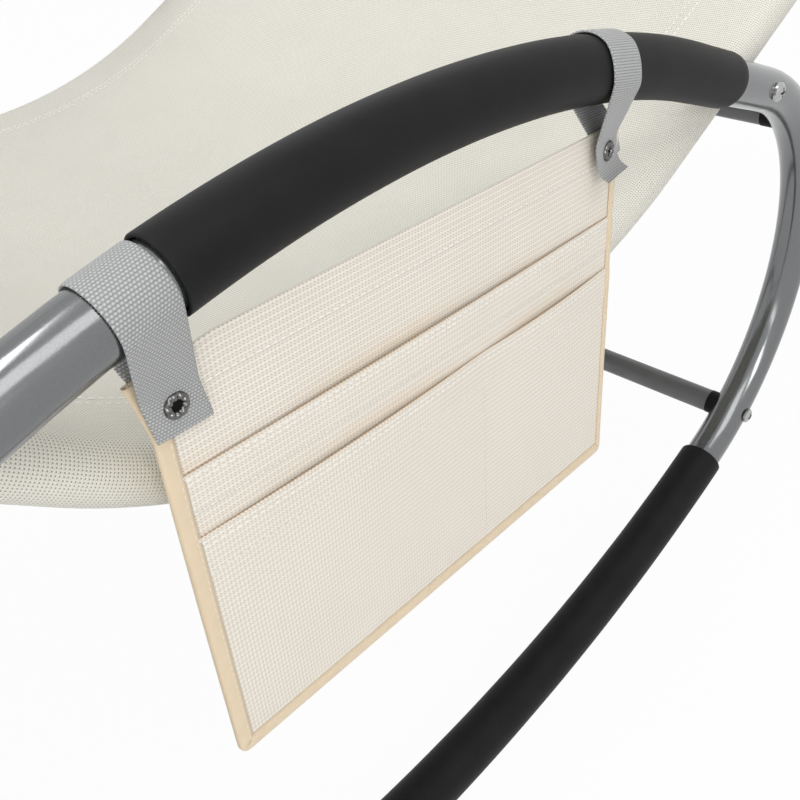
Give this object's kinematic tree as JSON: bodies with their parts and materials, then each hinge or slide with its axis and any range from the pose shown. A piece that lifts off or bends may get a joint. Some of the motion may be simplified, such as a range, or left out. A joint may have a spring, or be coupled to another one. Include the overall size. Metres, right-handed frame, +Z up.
{
  "type": "rocking chaise lounge",
  "caption": "Low rocking lounge chair with a curved woven sling on side rails between closed oval rocker loops, with foam sleeves and a hanging side pocket.",
  "frame": {"origin": "on the floor, midway between the two rocker loops and below the middle of both", "axes": "+X from the foot end to the head end, +Y towards the sitter's right, +Z up"},
  "size_m": [1.5491, 0.6401, 0.7084],
  "materials": {
    "frame_paint": "silver grey gloss powder coat",
    "bar_paint": "dark grey powder coat",
    "foam": "matt black closed-cell foam",
    "saddle_plastic": "black moulded plastic",
    "cap_plastic": "black moulded plastic",
    "screw_steel": "zinc plated",
    "sling_weave": "ivory coated mesh weave",
    "pocket_mesh": "cream mesh weave",
    "pocket_tape": "pale peach woven tape",
    "webbing": "light grey ribbed webbing",
    "stud_nickel": "polished nickel",
    "stud_dark": "black lacquered press stud"
  },
  "bodies": {
    "frame": {"bar_inserts": "cap_plastic", "bar_saddles": "saddle_plastic", "bar_screws": "screw_steel", "end_bar_saddles": "saddle_plastic", "foot_bar": "bar_paint", "front_lower_bar": "bar_paint", "front_upper_bar": "bar_paint", "head_bar": "bar_paint", "left_arm_foam": "foam", "left_back_rail": "frame_paint", "left_leg_rail": "frame_paint", "left_loop": "frame_paint", "left_rocker_foam": "foam", "rail_bolts": "screw_steel", "rail_end_caps": "cap_plastic", "rail_rivet_nuts": "screw_steel", "rail_saddles": "saddle_plastic", "rear_lower_bar": "bar_paint", "rear_upper_bar": "bar_paint", "right_arm_foam": "foam", "right_back_rail": "frame_paint", "right_leg_rail": "frame_paint", "right_loop": "frame_paint", "right_rocker_foam": "foam", "sling": "sling_weave"},
    "pocket": {"pocket_panel": "pocket_mesh", "pocket_upper_pouch": "pocket_mesh", "pocket_lower_pouch": "pocket_mesh", "pocket_binding": "pocket_tape", "front_strap": "webbing", "rear_strap": "webbing", "press_stud_caps": "stud_nickel", "press_stud_sockets": "stud_dark", "press_stud_posts": "stud_dark"}
  },
  "joints": [
    {"name": "pocket_swing", "type": "hinge", "parent": "frame", "child": "pocket", "pos_m": [-0.01845, -0.3, 0.44781], "axis": [-0.9996, 0, -0.0286], "range_deg": [-5, 35]}
  ]
}
